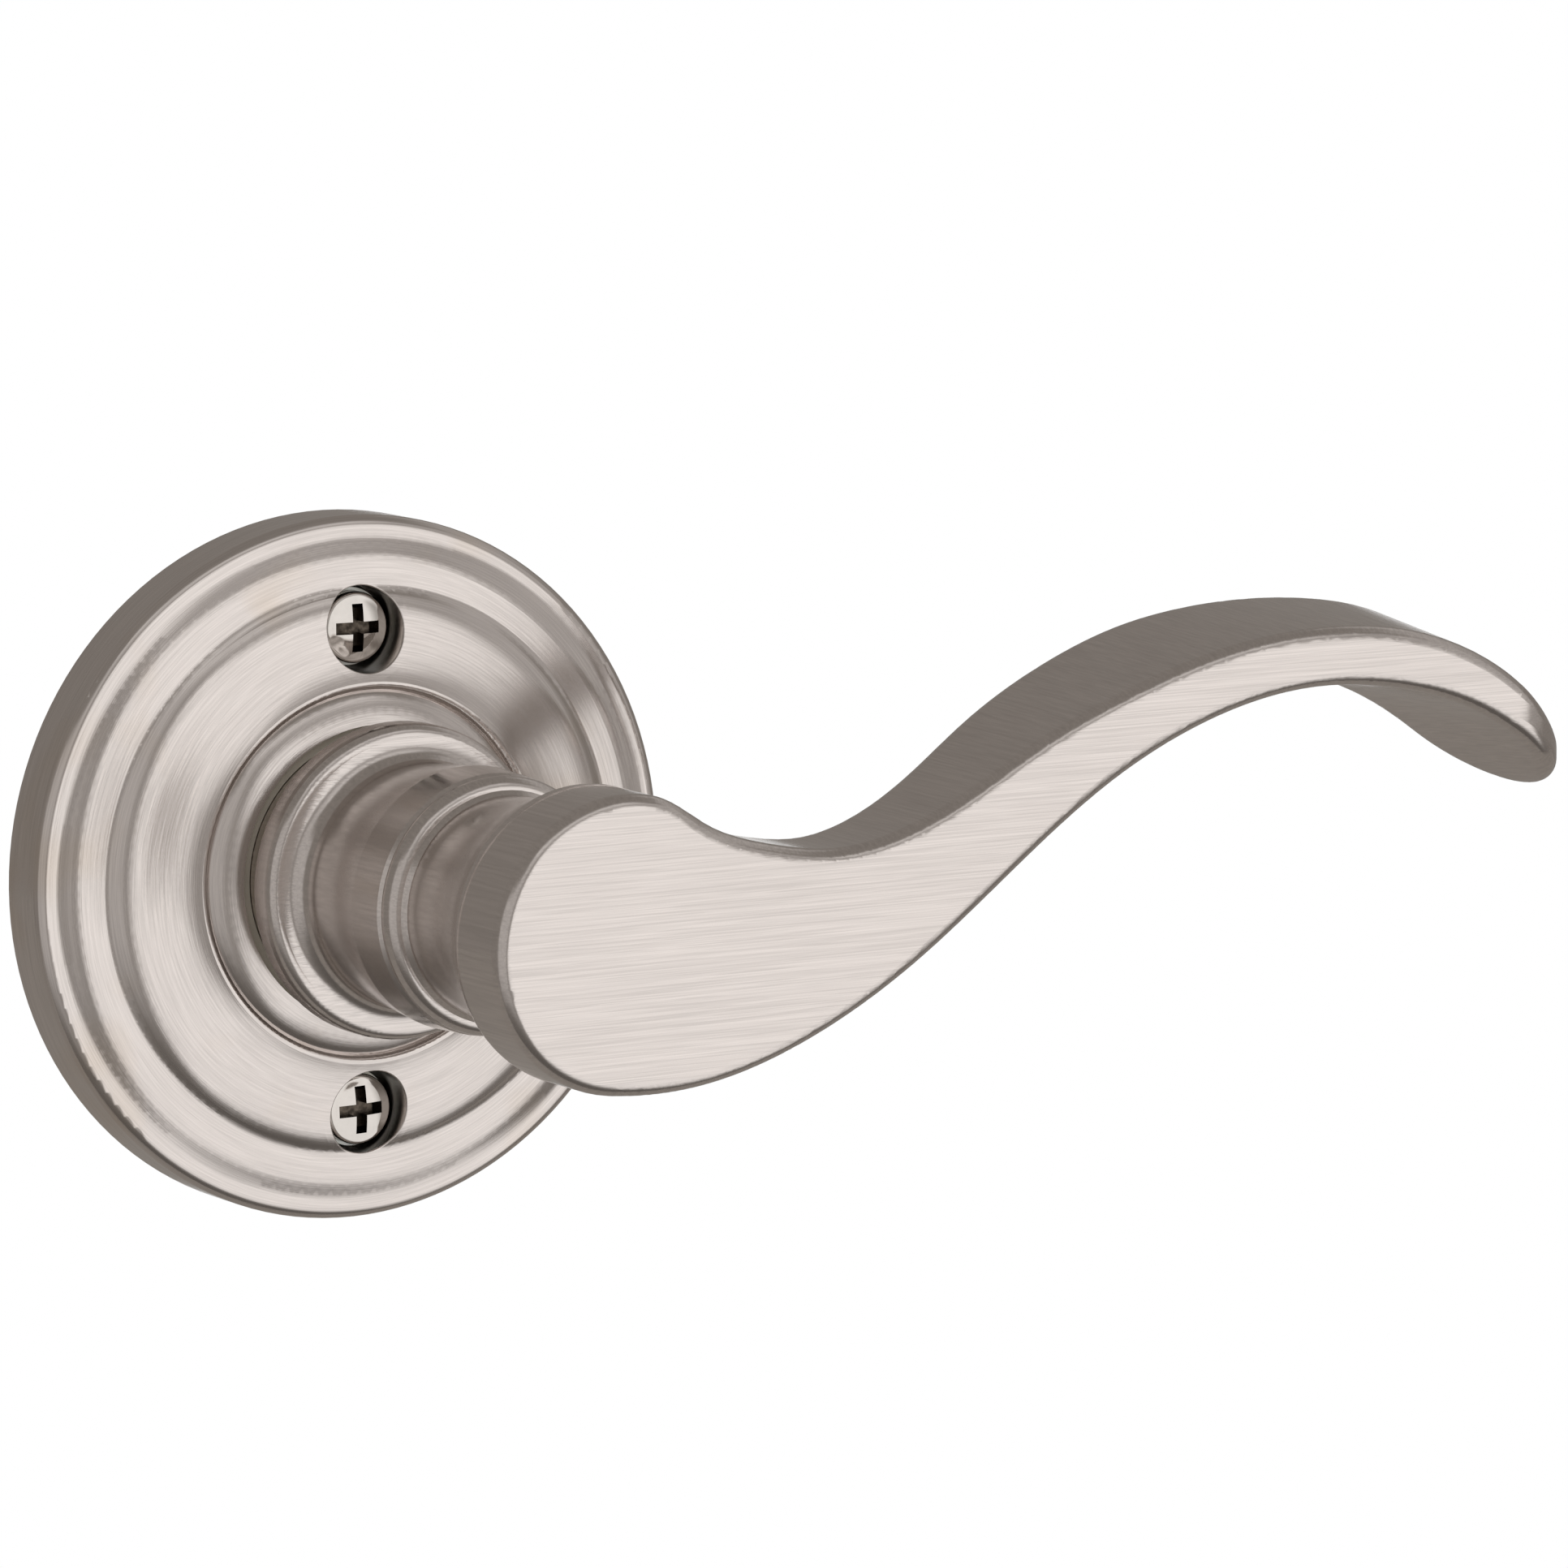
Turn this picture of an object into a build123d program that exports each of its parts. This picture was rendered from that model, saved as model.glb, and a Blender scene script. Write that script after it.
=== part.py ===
from build123d import *
import math
import os

# A door lever handle: a stepped round rose on the door, a wave lever that turns in it,
# and the spring return between them. Sizes are in millimetres. The door face is the
# plane Y = 0, the handle stands out along -Y, the lever points to +X, and the origin
# lies on the turning axis. A height is a distance from the door face, along -Y.

# Rose cover, from its rim inwards
rose_radius = 35.0
rose_wall = 1.1
rim_wall_height = 5.3
rim_width = 1.2
rim_rise = 0.95
rim_bulge = 0.35
step_width = 3.1
step_rise = 0.84
band_width = 2.35
band_rise = 0.29
crease_width = 0.9
crease_rise = 0.42
crease_slope = 0.65
ogee_width = 3.45
ogee_rise = 0.9
dish_slope = 0.15
dish_rise = 1.1
lip_slope = 0.38
lip_width = 0.9
groove_drop = 0.35
groove_slope = 2.5
ring_width = 3.2
ring_rise = 1.25
ring_foot_slope = 1.0
ring_top_slope = 0.26
land_thickness = 0.85

# Mounting plate and what is fixed to it
plate_thickness = 1.6
plate_clearance = 0.15
screw_spacing = 48.0
screw_radius = 2.1
screw_reach = 28.0
screw_neck_radius = 1.75
thread_start = 0.4
screw_clearance = 0.2
screw_hole_radius = 4.25
screw_hole_round = 0.12
hole_wall = 0.8
hole_wall_foot = 3.6
head_radius = 3.55
head_height = 1.5
head_edge_height = 0.6
head_edge_width = 0.45
head_dome_rise = 0.4
head_sink = 1.5
thread_chamfer = 0.6
recess_width = 1.0
recess_length = 4.2
recess_depth = 1.2
recess_taper = 8.0
washer_thickness = 0.5
post_wall = 1.55
clip_count = 4
clip_first_angle = 45.0
clip_width = 6.0
clip_length = 5.0
clip_sheet = 0.6
clip_leg = 2.0
rivet_radius = 1.0
rivet_head_radius = 1.7
rivet_head_height = 0.8
rivet_head_round = 0.3

# Bearings
running_clearance = 0.06
bush_flange_width = 2.4
bush_flange_thickness = 0.65
bush_lip = 1.0
plate_bush_wall = 0.95
plate_flange_width = 2.4
plate_flange_thickness = 0.8

# Spring return
part_gap = 0.3
driver_thickness = 1.0
driver_width = 4.6
lug_inner_gap = 0.35
lug_depth = 1.15
lug_half_width = 1.7
lug_floor_gap = 0.5
ear_reach = 2.6
ear_half_angle = 12.0
turn_limit = 50.0
stop_slack = 1.5
stop_pin_radius = 1.2
stop_pin_gap = 0.55
anchor_gap = 0.4
anchor_depth = 1.2
anchor_half_width = 2.0
anchor_top_gap = 0.45
wire_diameter = 1.2
coil_gap = 0.7
leg_clearance = 0.1
leg_bend_radius = 1.8
coil_turns = 2

# Drive sleeve, latch spindle and what holds them
sleeve_radius = 8.0
sleeve_fit = 0.03
sleeve_depth = 23.35
sleeve_tail = 4.0
spindle_side = 7.0
spindle_clearance = 0.05
spindle_depth = 14.4
spindle_tail = 34.0
spindle_chamfer = 0.6
pin_radius = 1.0
pin_inset = 5.0
pin_end_gap = 0.3
tail_gap = 0.05
thrust_washer_thickness = 0.8
ring_thickness = 1.0
ring_groove_depth = 0.6
ring_band = 2.2
ring_gap_width = 5.0
set_screw_radius = 2.0
set_screw_height = 26.0
set_screw_sink = 0.5
set_screw_bite = 0.9
set_screw_socket = 2.0
set_screw_socket_depth = 1.6

# Lever shank: radii and heights from the rose outwards
spigot_radius = 13.6
collar_back_height = 12.4
collar_radius = 15.6
collar_edge_height = 14.2
collar_side = 1.7
collar_crown_radius = 14.3
collar_crown_height = 17.3
cove_end_radius = 12.05
cove_end_height = 19.6
drum_radius = 12.95
drum_start_height = 28.9
drum_end_radius = 12.75
drum_end_height = 33.5
bead_notch = 0.3
bead_length = 2.2
bead_drop = 1.4
neck_radius = 10.95
neck_start_height = 36.2
neck_bow = 0.75
bore_end_gap = 0.2

# Lever boss and arm
face_height = 59.5
boss_radius = 14.3
boss_drop = 0.6
boss_depth = 9.0
flare_end_gap = 0.55
flare_root = 1.0
arm_reach = 111.7
arm_depth = 18.0
arm_thin_end = 13.0
arm_wide_start = 69.0
edge_round = 1.4
top_leave_angle = 78.0
shoulder_run = 6.4
shoulder_drop = 3.4
under_leave_angle = -97.0
top_end_angle = -60.0
under_start_angle = 148.0
# Points of the arm's back outline: hundredths of the reach, height over the axis, and how far
# the front outline is drawn in there
arm_top = [
    (14.4, 7.8, 0.05), (21.1, 7.0, 0.2), (27.8, 8.5, 0.35), (34.6, 11.9, 0.5), (41.3, 16.2, 0.8),
    (50.3, 20.7, 1.15), (60.1, 24.1, 1.3), (70.0, 25.5, 1.3), (79.0, 25.2, 1.6), (87.1, 23.2, 2.4),
    (93.0, 19.25, 2.6), (97.5, 13.6, 2.2), (101.9, 6.3, 1.2),
]
arm_under = [
    (101.9, 2.4, 1.2), (95.2, 7.3, 2.4), (87.1, 13.5, 1.8), (79.0, 17.3, 0.5), (70.0, 18.3, 0.15),
    (59.2, 16.0, 0.1), (48.5, 10.6, 0.05), (38.6, 3.0, 0.0), (28.7, -5.0, 0.0), (18.0, -11.35, 0.0),
    (8.1, -14.6, 0.0),
]

# Rose heights and radii that follow
rim_crown_radius = rose_radius - rim_width
rim_crown_height = rim_wall_height + rim_rise
band_outer_radius = rim_crown_radius - step_width
band_outer_height = rim_crown_height + step_rise
band_inner_radius = band_outer_radius - band_width
band_inner_height = band_outer_height + band_rise
band_slope = band_rise / band_width
crease_radius = band_inner_radius - crease_width
crease_height = band_inner_height + crease_rise
dish_outer_radius = crease_radius - ogee_width
dish_height = crease_height + ogee_rise
lip_height = dish_height + dish_rise
groove_height = lip_height - groove_drop
ring_height = groove_height + ring_rise
land_height = groove_height - land_thickness
rose_bush_radius = spigot_radius + running_clearance
rose_bore_radius = rose_bush_radius + bush_flange_width / 2
groove_radius = rose_bore_radius + ring_width
lip_radius = groove_radius + lip_width
rose_inner_radius = rose_radius - rose_wall

# Heights of the spring return, from the rose's land down to the plate
bush_flange_height = land_height - bush_flange_thickness
driver_top = bush_flange_height - part_gap
driver_floor = driver_top - driver_thickness
spring_top = driver_floor - part_gap
spring_floor = plate_thickness + part_gap
leg_low = spring_floor + wire_diameter / 2
leg_high = spring_top - wire_diameter / 2

# Radii of the spring return, from the sleeve outwards
lug_inner_radius = sleeve_radius + lug_inner_gap
lug_outer_radius = lug_inner_radius + lug_depth
anchor_inner_radius = lug_outer_radius + anchor_gap
anchor_outer_radius = anchor_inner_radius + anchor_depth
coil_radius = anchor_outer_radius + coil_gap + wire_diameter / 2
driver_radius = sleeve_radius + driver_width
stop_pin_circle = coil_radius + wire_diameter / 2 + stop_pin_gap + stop_pin_radius
ear_radius = driver_radius + ear_reach
leg_offset = anchor_half_width + leg_clearance + wire_diameter / 2

# Screw heights
screw_crown = dish_height - head_sink
head_floor = screw_crown - head_height
post_top = head_floor - washer_thickness
screw_bore_radius = screw_radius + screw_clearance
post_radius = screw_bore_radius + post_wall
screw_places = [screw_spacing / 2, -screw_spacing / 2]

# Sleeve heights
sleeve_top = driver_top + sleeve_depth
spindle_top = driver_top + spindle_depth
pin_height = spindle_top - pin_inset
plate_bore_radius = sleeve_radius + running_clearance + plate_bush_wall
tail_washer_start = plate_flange_thickness + tail_gap
tail_ring_start = tail_washer_start + thrust_washer_thickness + tail_gap
boss_back_height = face_height - boss_depth
arm_back_height = face_height - arm_depth
cover = 1.0
touch = 0.001


def spot(radius, height):
    """A point of a turned profile, as radius and height off the door."""
    return Vector(radius, -height, 0)


def turned(edges):
    """A solid of revolution about the turning axis."""
    return revolve(make_face(edges), Axis.Y)


def ring(inner, outer, start, end):
    """A plain ring about the turning axis between two heights."""
    corners = [spot(inner, start), spot(outer, start), spot(outer, end), spot(inner, end)]
    return turned(Polyline(*corners, close=True).edges())


def rod(radius, start, end, x=0.0, z=0.0):
    """A round bar square to the door between two heights."""
    bar = Cylinder(radius, end - start, align=(Align.CENTER, Align.CENTER, Align.MIN))
    return Pos(x, -start, z) * Rot(90, 0, 0) * bar


def block(x_from, x_to, start, end, z_from, z_to):
    """A square-cornered block between two heights."""
    size = Box(x_to - x_from, end - start, z_to - z_from)
    return Pos((x_from + x_to) / 2, -(start + end) / 2, (z_from + z_to) / 2) * size


def on_circle(radius, angle):
    """The X and Z of a point on a circle about the turning axis, in degrees."""
    turn = math.radians(angle)
    return radius * math.cos(turn), radius * math.sin(turn)


def about_axis(shape, angle):
    """A shape turned about the turning axis, from +X towards +Z."""
    return Rot(0, -angle, 0) * shape


def hole_rim(shell, z):
    """The front edges of a screw hole through the rose."""
    rim = []
    for edge in shell.edges():
        places = [edge @ 0, edge @ 0.5, edge @ 1]
        on_wall = all(abs(math.hypot(at.X, at.Z - z) - screw_hole_radius) < touch for at in places)
        if on_wall and max(at.Y for at in places) < -hole_wall_foot - rose_wall:
            rim.append(edge)
    return rim


def make_rose_cover():
    outer = [
        Line(spot(rose_radius, 0), spot(rose_radius, rim_wall_height)),
        ThreePointArc(
            spot(rose_radius, rim_wall_height),
            spot(rose_radius - rim_bulge, rim_crown_height - rim_bulge),
            spot(rim_crown_radius, rim_crown_height),
        ),
        Spline(
            spot(rim_crown_radius, rim_crown_height),
            spot(band_outer_radius, band_outer_height),
            tangents=[(-1, 0), (-1, -band_slope)],
        ),
        Line(spot(band_outer_radius, band_outer_height), spot(band_inner_radius, band_inner_height)),
        Spline(
            spot(band_inner_radius, band_inner_height),
            spot(crease_radius, crease_height),
            tangents=[(-1, -band_slope), (-1, -crease_slope)],
        ),
        Spline(
            spot(crease_radius, crease_height),
            spot(dish_outer_radius, dish_height),
            tangents=[(-1, -crease_slope), (-1, -dish_slope)],
        ),
        Spline(
            spot(dish_outer_radius, dish_height),
            spot(lip_radius, lip_height),
            tangents=[(-1, -dish_slope), (-1, -lip_slope)],
        ),
        Spline(
            spot(lip_radius, lip_height),
            spot(groove_radius, groove_height),
            tangents=[(-1, -lip_slope), (-1, groove_slope)],
        ),
        Spline(
            spot(groove_radius, groove_height),
            spot(rose_bore_radius, ring_height),
            tangents=[(-1, -ring_foot_slope), (-1, -ring_top_slope)],
        ),
    ]
    inner = Polyline(
        spot(rose_bore_radius, ring_height),
        spot(rose_bore_radius, land_height),
        spot(lip_radius, land_height),
        spot(dish_outer_radius, dish_height - rose_wall),
        spot(crease_radius, crease_height - rose_wall),
        spot(band_outer_radius, band_outer_height - rose_wall),
        spot(rose_inner_radius, rim_wall_height),
        spot(rose_inner_radius, 0),
        spot(rose_radius, 0),
    )
    under = Polyline(spot(rose_bore_radius, ring_height), spot(rose_bore_radius, 0), spot(rose_radius, 0))
    shell = turned(outer + list(inner.edges()))
    full = turned(outer + list(under.edges()))
    for z in screw_places:
        wall = rod(screw_hole_radius + hole_wall, hole_wall_foot, lip_height, z=z) & full
        shell = shell + wall - rod(screw_hole_radius, 0, lip_height + cover, z=z)
        shell = fillet(hole_rim(shell, z), screw_hole_round)
    return shell


def make_mounting_plate():
    plate = ring(plate_bore_radius, rose_inner_radius - plate_clearance, 0, plate_thickness)
    for z in screw_places:
        plate = plate - rod(screw_bore_radius, -cover, plate_thickness + cover, z=z)
    for x, z in stop_places():
        plate = plate - rod(stop_pin_radius, -cover, plate_thickness + cover, x, z)
    for x, z in rivet_places():
        plate = plate - rod(rivet_radius, -cover, plate_thickness + cover, x, z)
    return plate


def make_screw_posts():
    posts = []
    for z in screw_places:
        tube = rod(post_radius, plate_thickness, post_top, z=z)
        posts.append(tube - rod(screw_bore_radius, 0, post_top + cover, z=z))
    return posts


def make_screw_washers():
    washers = []
    for z in screw_places:
        disc = rod(head_radius, post_top, head_floor, z=z)
        washers.append(disc - rod(screw_bore_radius, 0, head_floor + cover, z=z))
    return washers


def make_mounting_screws():
    edge = head_floor + head_edge_height
    dome_radius = head_radius - head_edge_width
    dome_edge = screw_crown - head_dome_rise
    dome_slope = 2 * head_dome_rise / dome_radius
    head = turned([
        Line(spot(0, head_floor), spot(head_radius, head_floor)),
        Line(spot(head_radius, head_floor), spot(head_radius, edge)),
        Spline(
            spot(head_radius, edge), spot(dome_radius, dome_edge), tangents=[(0, -1), (-1, -dome_slope)]
        ),
        Spline(
            spot(dome_radius, dome_edge), spot(0, screw_crown), tangents=[(-1, -dome_slope), (-1, 0)]
        ),
        Line(spot(0, screw_crown), spot(0, head_floor)),
    ])
    cross = Rectangle(recess_width, recess_length) + Rectangle(recess_length, recess_width)
    socket = extrude(cross, amount=-recess_depth, taper=recess_taper)
    head = head - Pos(0, -screw_crown, 0) * Rot(90, 0, 0) * socket
    neck = rod(screw_neck_radius, -thread_start, head_floor)
    thread = rod(screw_radius, -screw_reach, -thread_start)
    tip = thread.edges().sort_by(Axis.Y)[-1]
    screw = head + neck + chamfer(tip, thread_chamfer)
    return [Pos(0, 0, z) * screw for z in screw_places]


def make_rose_bush():
    sleeve = ring(rose_bush_radius, rose_bore_radius, bush_flange_height, land_height + bush_lip)
    flange = ring(
        rose_bush_radius, rose_bush_radius + bush_flange_width, bush_flange_height, land_height
    )
    return sleeve + flange


def make_plate_bush():
    inner = sleeve_radius + running_clearance
    sleeve = ring(inner, plate_bore_radius, -plate_flange_thickness, plate_thickness)
    flange = ring(inner, inner + plate_flange_width, -plate_flange_thickness, 0)
    return sleeve + flange


def clip_angles():
    return [clip_first_angle + 360.0 * turn / clip_count for turn in range(clip_count)]


def clip_rivet_radius():
    return rose_inner_radius - plate_clearance - clip_length / 2


def rivet_places():
    return [on_circle(clip_rivet_radius(), angle) for angle in clip_angles()]


def make_rose_clips():
    outer = rose_inner_radius - plate_clearance
    foot_top = plate_thickness + clip_sheet
    half = clip_width / 2
    edge = math.sqrt(outer ** 2 - half ** 2)
    foot = block(edge - clip_length, edge, plate_thickness, foot_top, -half, half)
    leg = block(edge - clip_sheet, edge, plate_thickness, foot_top + clip_leg, -half, half)
    hole = rod(rivet_radius, 0, foot_top + cover, x=clip_rivet_radius())
    clip = foot + leg - hole
    return [about_axis(clip, angle) for angle in clip_angles()]


def make_clip_rivets():
    foot_top = plate_thickness + clip_sheet
    shank = rod(rivet_radius, 0, foot_top, x=clip_rivet_radius())
    head = rod(rivet_head_radius, foot_top, foot_top + rivet_head_height, x=clip_rivet_radius())
    rivet = shank + fillet(head.edges().sort_by(Axis.Y)[0], rivet_head_round)
    return [about_axis(rivet, angle) for angle in clip_angles()]


def make_spring_anchor():
    return block(
        -anchor_half_width, anchor_half_width, plate_thickness, driver_floor - anchor_top_gap,
        anchor_inner_radius, anchor_outer_radius,
    )


def stop_places():
    half_pin = math.degrees(math.asin(stop_pin_radius / stop_pin_circle))
    swing = ear_half_angle + turn_limit + stop_slack + half_pin
    return [on_circle(stop_pin_circle, -90 + swing), on_circle(stop_pin_circle, -90 - swing)]


def make_stop_pins():
    return [rod(stop_pin_radius, 0, driver_top, x, z) for x, z in stop_places()]


def biarc(start, start_way, end, end_way):
    """Two tangent arcs from one point and direction to another."""
    chord = end - start
    ways = start_way + end_way
    a = ways.dot(ways) - 4
    b = -2 * chord.dot(ways)
    c = chord.dot(chord)
    reach = -c / b if abs(a) < 1e-9 else (-b - math.sqrt(b * b - 4 * a * c)) / (2 * a)
    if reach < 0:
        reach = (-b + math.sqrt(b * b - 4 * a * c)) / (2 * a)
    near = start + start_way * reach
    far = end - end_way * reach
    middle = (near + far) * 0.5
    return [
        TangentArc(start, middle, tangent=start_way),
        TangentArc(middle, end, tangent=far - near),
    ]


def make_return_spring():
    bend_x = leg_offset + leg_bend_radius
    bend_z = math.sqrt((coil_radius - leg_bend_radius) ** 2 - bend_x ** 2)
    first = math.degrees(math.atan2(bend_z, bend_x))
    total = 360.0 * coil_turns - 2 * (90.0 - first)
    quarters = 4 * coil_turns
    rise = leg_high - leg_low
    spin = math.radians(total / quarters)

    def place(step):
        x, z = on_circle(coil_radius, first - total * step / quarters)
        return Vector(x, -(leg_low + rise * step / quarters), z)

    def way(step):
        x, z = on_circle(1.0, first - total * step / quarters - 90)
        climb = 0.0 if step in (0, quarters) else rise / quarters / (spin * coil_radius)
        return Vector(x, -climb, z).normalized()

    leg_end = lug_inner_radius + wire_diameter / 4
    low_leg = Line((leg_offset, -leg_low, leg_end), (leg_offset, -leg_low, bend_z))
    high_leg = Line((-leg_offset, -leg_high, bend_z), (-leg_offset, -leg_high, leg_end))
    path = [low_leg, TangentArc(low_leg @ 1, place(0), tangent=(0, 0, 1))]
    for step in range(quarters):
        path += biarc(place(step), way(step), place(step + 1), way(step + 1))
    path += [TangentArc(place(quarters), high_leg @ 0, tangent=way(quarters)), high_leg]
    line = Wire([edge for piece in path for edge in piece.edges()])
    profile = Plane(origin=low_leg @ 0, z_dir=(0, 0, 1)) * Circle(wire_diameter / 2)
    points = [line.position_at(n / 400) for n in range(401)]
    spread = [
        (points[i] - points[j]).length
        for i in range(401)
        for j in range(i + 40, 401)
    ]
    print("spring least gap to itself:", round(min(spread) - wire_diameter, 3))
    return sweep(profile, path=line)


def make_drive_sleeve():
    tube = rod(sleeve_radius, -sleeve_tail, sleeve_top)
    half = spindle_side / 2 + spindle_clearance
    tube = tube - block(-half, half, -sleeve_tail - cover, sleeve_top + cover, -half, half)
    groove_end = tail_ring_start + ring_thickness + tail_gap
    groove = ring(sleeve_radius - ring_groove_depth, sleeve_radius + cover, -groove_end, -tail_ring_start)
    cross = Rot(0, 90, 0) * Cylinder(pin_radius, 2 * sleeve_radius + cover)
    tube = tube - groove - Pos(0, -pin_height, 0) * cross
    return tube - set_screw_bar(set_screw_radius)


def set_screw_bar(radius):
    """The set screw's round bar, from the shank's underside into the sleeve."""
    start = sleeve_radius - set_screw_bite
    end = cove_end_radius - set_screw_sink
    bar = Cylinder(radius, end - start, align=(Align.CENTER, Align.CENTER, Align.MAX))
    return Pos(0, -set_screw_height, -start) * bar


def make_set_screw():
    bar = set_screw_bar(set_screw_radius)
    tip = cove_end_radius - set_screw_sink
    socket = extrude(RegularPolygon(set_screw_socket / 2, 6, major_radius=False), set_screw_socket_depth)
    return bar - Pos(0, -set_screw_height, -tip) * socket


def make_spring_driver():
    disc = ring(sleeve_radius, driver_radius, driver_floor, driver_top)
    sides = [on_circle(ear_radius * 2, -90 - ear_half_angle), on_circle(ear_radius * 2, -90 + ear_half_angle)]
    corners = [Vector(0, 0, 0)] + [Vector(x, 0, z) for x, z in sides]
    wedge = extrude(make_face(Polyline(*corners, close=True).edges()), sleeve_top, dir=(0, -1, 0))
    ear = ring(driver_radius - cover, ear_radius, driver_floor, driver_top) & wedge
    lug = block(
        -lug_half_width, lug_half_width, plate_thickness + lug_floor_gap, driver_top,
        lug_inner_radius, lug_outer_radius,
    )
    return disc + ear + lug


def make_latch_spindle():
    half = spindle_side / 2
    bar = block(-half, half, -spindle_tail, spindle_top, -half, half)
    bar = chamfer(bar.faces().sort_by(Axis.Y)[-1].edges(), spindle_chamfer)
    return bar - Pos(0, -pin_height, 0) * Rot(0, 90, 0) * Cylinder(pin_radius, spindle_side + cover)


def make_spindle_pin():
    length = 2 * (sleeve_radius - pin_end_gap)
    return Pos(0, -pin_height, 0) * Rot(0, 90, 0) * Cylinder(pin_radius, length)


def make_thrust_washer():
    inner = sleeve_radius + running_clearance
    end = tail_washer_start + thrust_washer_thickness
    return ring(inner, inner + plate_flange_width, -end, -tail_washer_start)


def make_retaining_ring():
    inner = sleeve_radius - ring_groove_depth
    end = tail_ring_start + ring_thickness
    band = ring(inner, inner + ring_band, -end, -tail_ring_start)
    half = ring_gap_width / 2
    return band - block(-half, half, -end - cover, -tail_ring_start + cover, -rose_radius, 0)


def arm_outline(height):
    """The boss and the wave arm as seen from the front, at one height off the door."""
    share = (height - arm_back_height) / arm_depth
    top_leave = on_circle(boss_radius, top_leave_angle)
    under_leave = on_circle(boss_radius, under_leave_angle)
    boss_left = (-boss_radius, -boss_drop)
    top_start = (top_leave[0], top_leave[1] - boss_drop)
    shoulder = (top_start[0] + shoulder_run, top_start[1] - shoulder_drop)
    under_end = (under_leave[0], under_leave[1] - boss_drop)
    top_way = on_circle(1.0, top_leave_angle - 90)
    under_way = on_circle(1.0, under_leave_angle - 90)
    top_end_way = on_circle(1.0, top_end_angle)
    under_start_way = on_circle(1.0, under_start_angle)
    top = [(part * arm_reach / 100, rise - share * drop) for part, rise, drop in arm_top]
    under = [(part * arm_reach / 100, rise + share * lift) for part, rise, lift in arm_under]
    side = [
        ThreePointArc(under_end, boss_left, top_start),
        Spline(top_start, shoulder, *top, tangents=[top_way, top_end_way], tangent_scalars=[1, 1]),
        Line(top[-1], under[0]),
        Spline(*under, under_end, tangents=[under_start_way, under_way], tangent_scalars=[1, 1]),
    ]
    return Plane.XZ.offset(height) * make_face([edge for piece in side for edge in piece.edges()])


def make_arm():
    """The boss and the wave arm: its drafted front outline cut to its outline seen from above."""
    slab = loft([arm_outline(arm_back_height - cover), arm_outline(face_height + cover)], ruled=True)
    round_radius = arm_depth / 2
    round_x = arm_reach - round_radius
    left = -boss_radius - cover
    plan = [
        Line(spot(left, face_height), spot(round_x, face_height)),
        ThreePointArc(
            spot(round_x, face_height),
            spot(arm_reach, face_height - round_radius),
            spot(round_x, arm_back_height),
        ),
        Line(spot(round_x, arm_back_height), spot(arm_wide_start, arm_back_height)),
        Spline(
            spot(arm_wide_start, arm_back_height),
            spot(arm_thin_end, boss_back_height),
            tangents=[(-1, 0), (-1, 0)],
        ),
        Line(spot(arm_thin_end, boss_back_height), spot(left, boss_back_height)),
        Line(spot(left, boss_back_height), spot(left, face_height)),
    ]
    floor = make_face([edge for piece in plan for edge in piece.edges()])
    stack = Pos(0, 0, -arm_reach) * extrude(floor, 2 * arm_reach)
    arm = slab & stack
    straight = (GeomType.LINE, GeomType.BEZIER)
    rims = [edge for edge in arm.edges() if edge.geom_type not in straight]
    return fillet(rims, edge_round)


def make_lever_handle():
    bead_end = drum_end_height + bead_length
    bead_start = spot(drum_end_radius - bead_notch, drum_end_height + bead_notch)
    bead_top = spot(drum_end_radius - bead_notch / 2, drum_end_height + bead_length / 2)
    flare_end = boss_radius - flare_end_gap
    bow_height = (neck_start_height + boss_back_height) / 2
    shank = turned([
        Line(spot(0, driver_top), spot(spigot_radius, driver_top)),
        Line(spot(spigot_radius, driver_top), spot(spigot_radius, collar_back_height)),
        Line(spot(spigot_radius, collar_back_height), spot(collar_radius, collar_edge_height)),
        Line(spot(collar_radius, collar_edge_height), spot(collar_radius, collar_edge_height + collar_side)),
        Spline(
            spot(collar_radius, collar_edge_height + collar_side),
            spot(collar_crown_radius, collar_crown_height),
            tangents=[(0, -1), (-1, 0)],
        ),
        Spline(
            spot(collar_crown_radius, collar_crown_height),
            spot(cove_end_radius, cove_end_height),
            tangents=[(-1, 0), (0.1, -1)],
        ),
        Line(spot(cove_end_radius, cove_end_height), spot(drum_radius, drum_start_height)),
        Line(spot(drum_radius, drum_start_height), spot(drum_end_radius, drum_end_height)),
        Line(spot(drum_end_radius, drum_end_height), bead_start),
        ThreePointArc(
            bead_start,
            bead_top,
            spot(drum_end_radius - bead_drop, bead_end),
        ),
        Line(spot(drum_end_radius - bead_drop, bead_end), spot(neck_radius, neck_start_height)),
        ThreePointArc(
            spot(neck_radius, neck_start_height),
            spot((neck_radius + flare_end) / 2 - neck_bow, bow_height),
            spot(flare_end, boss_back_height),
        ),
        Line(spot(flare_end, boss_back_height), spot(flare_end, boss_back_height + flare_root)),
        Line(spot(flare_end, boss_back_height + flare_root), spot(0, boss_back_height + flare_root)),
        Line(spot(0, boss_back_height + flare_root), spot(0, driver_top)),
    ])
    handle = make_arm() + shank
    bore = rod(sleeve_radius + sleeve_fit, driver_top - cover, sleeve_top + bore_end_gap)
    screw_hole = Cylinder(set_screw_radius, drum_radius, align=(Align.CENTER, Align.CENTER, Align.MAX))
    return handle - bore - Pos(0, -set_screw_height, 0) * screw_hole


def save(name, shape):
    """Write one node; a list becomes a group of separate solids."""
    solids = shape if isinstance(shape, list) else [shape]
    solids = [solid for piece in solids for solid in piece.solids()]
    body = solids[0] if len(solids) == 1 else Compound(children=solids)
    body.label = name
    export_step(body, os.path.join("parts", name + ".step"))


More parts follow.
